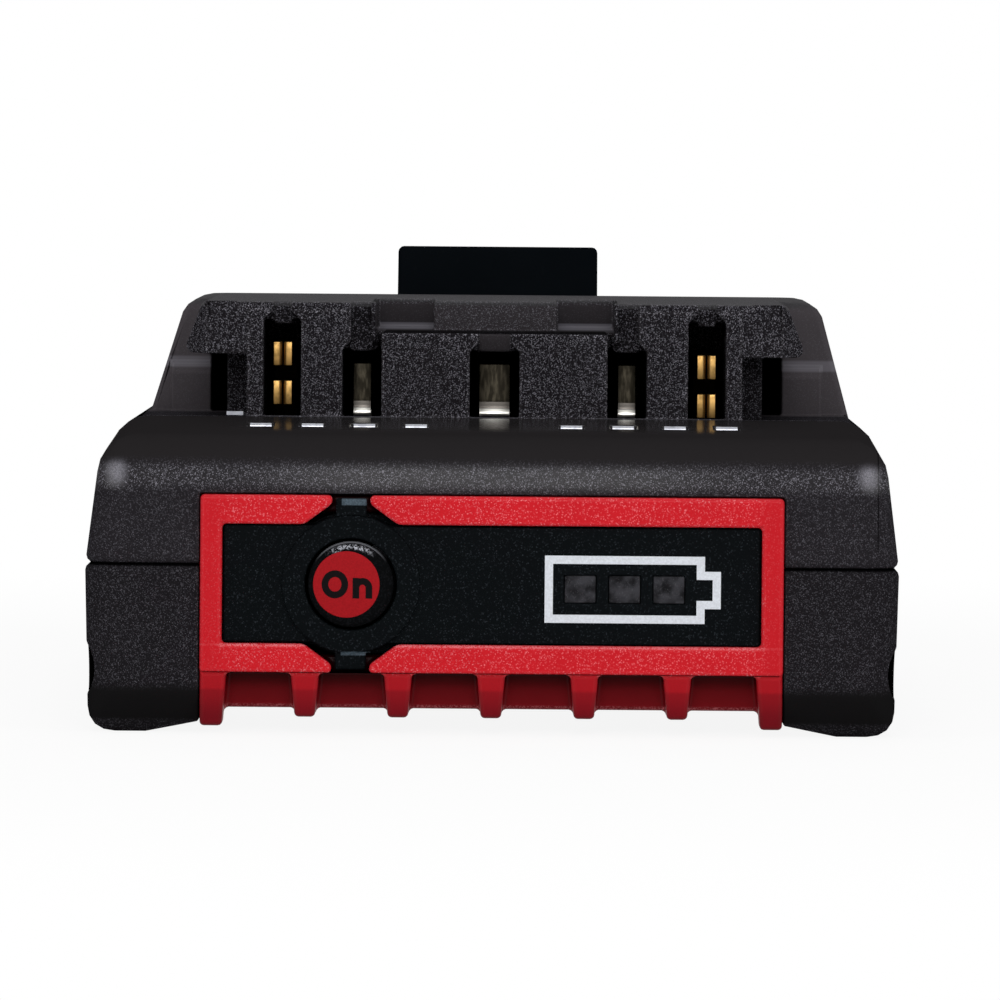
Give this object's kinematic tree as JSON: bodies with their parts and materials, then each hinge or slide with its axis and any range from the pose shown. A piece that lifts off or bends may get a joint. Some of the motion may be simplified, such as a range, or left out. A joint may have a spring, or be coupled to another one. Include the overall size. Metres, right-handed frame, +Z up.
{
  "type": "power tool battery pack",
  "caption": "Flat slide-on battery pack with side rails, slotted terminal tower, sprung release latch and a red front bezel around a push button charge gauge.",
  "frame": {"origin": "on the floor under the middle of the feet, midway between the bezel's face and the back", "axes": "+X to the right seen from the gauge end, -Y out of the gauge end, +Z up"},
  "size_m": [0.0764, 0.116, 0.0445],
  "materials": {
    "housing_black": "fine grained moulded plastic",
    "bezel_red": "satin moulded plastic",
    "panel_black": "fine satin panel with white print",
    "window_smoke": "smoked clear plastic",
    "button_black": "soft moulded plastic",
    "disc_red": "satin plastic with black lettering",
    "plunger_white": "moulded plastic",
    "chip_black": "moulded resin",
    "board_green": "coated glass fibre board",
    "cable_grey": "flexible sheath",
    "carrier_black": "glass filled plastic",
    "contact_brass": "plated spring brass",
    "contact_silver": "plated spring metal",
    "screw_steel": "zinc plated",
    "paper_grey": "insulating paper",
    "foam_black": "closed cell foam",
    "cell_sleeve": "thin coloured sleeve over a metal can",
    "strip_nickel": "nickel strip",
    "latch_black": "smooth moulded plastic",
    "spring_steel": "drawn spring wire"
  },
  "bodies": {
    "pack": {"lower_housing": "housing_black", "upper_housing": "housing_black", "front_bezel": "bezel_red", "indicator_panel": "panel_black", "indicator_windows": "window_smoke", "gauge_switch": "chip_black", "gauge_board": "board_green", "gauge_lamps": "plunger_white", "gauge_cable": "cable_grey", "terminal_carrier": "carrier_black", "power_contact_left": "contact_brass", "power_contact_right": "contact_brass", "signal_contact_left": "contact_silver", "signal_contact_middle": "contact_silver", "signal_contact_right": "contact_silver", "control_board": "board_green", "power_transistors": "chip_black", "controller_chip": "chip_black", "fuse": "plunger_white", "board_screws": "screw_steel", "insulation_sheet": "paper_grey", "thermistor": "chip_black", "foam_strips": "foam_black", "cell_holder_left": "carrier_black", "cell_holder_right": "carrier_black", "negative_strip": "strip_nickel", "series_strip_1": "strip_nickel", "series_strip_2": "strip_nickel", "series_strip_3": "strip_nickel", "series_strip_4": "strip_nickel", "positive_strip": "strip_nickel", "end_insulator_left": "paper_grey", "end_insulator_right": "paper_grey", "latch_springs": "spring_steel", "latch_retainer": "carrier_black", "retainer_screws": "screw_steel", "housing_screws": "screw_steel", "cell_1": "cell_sleeve", "cell_2": "cell_sleeve", "cell_3": "cell_sleeve", "cell_4": "cell_sleeve", "cell_5": "cell_sleeve"},
    "button": {"on_button": "button_black", "button_disc": "disc_red", "switch_plunger": "plunger_white"},
    "latch": {"release_latch": "latch_black"}
  },
  "joints": [
    {"name": "button_press", "type": "slide", "parent": "pack", "child": "button", "axis": [0, 1, 0], "range_m": [0, 0.0006], "stiffness_N_per_m": 1500, "springref_m": -0.0004},
    {"name": "latch_press", "type": "slide", "parent": "pack", "child": "latch", "axis": [0, 0, -1], "range_m": [0, 0.005], "stiffness_N_per_m": 1000, "springref_m": -0.003, "deforming": ["latch_springs"]}
  ]
}
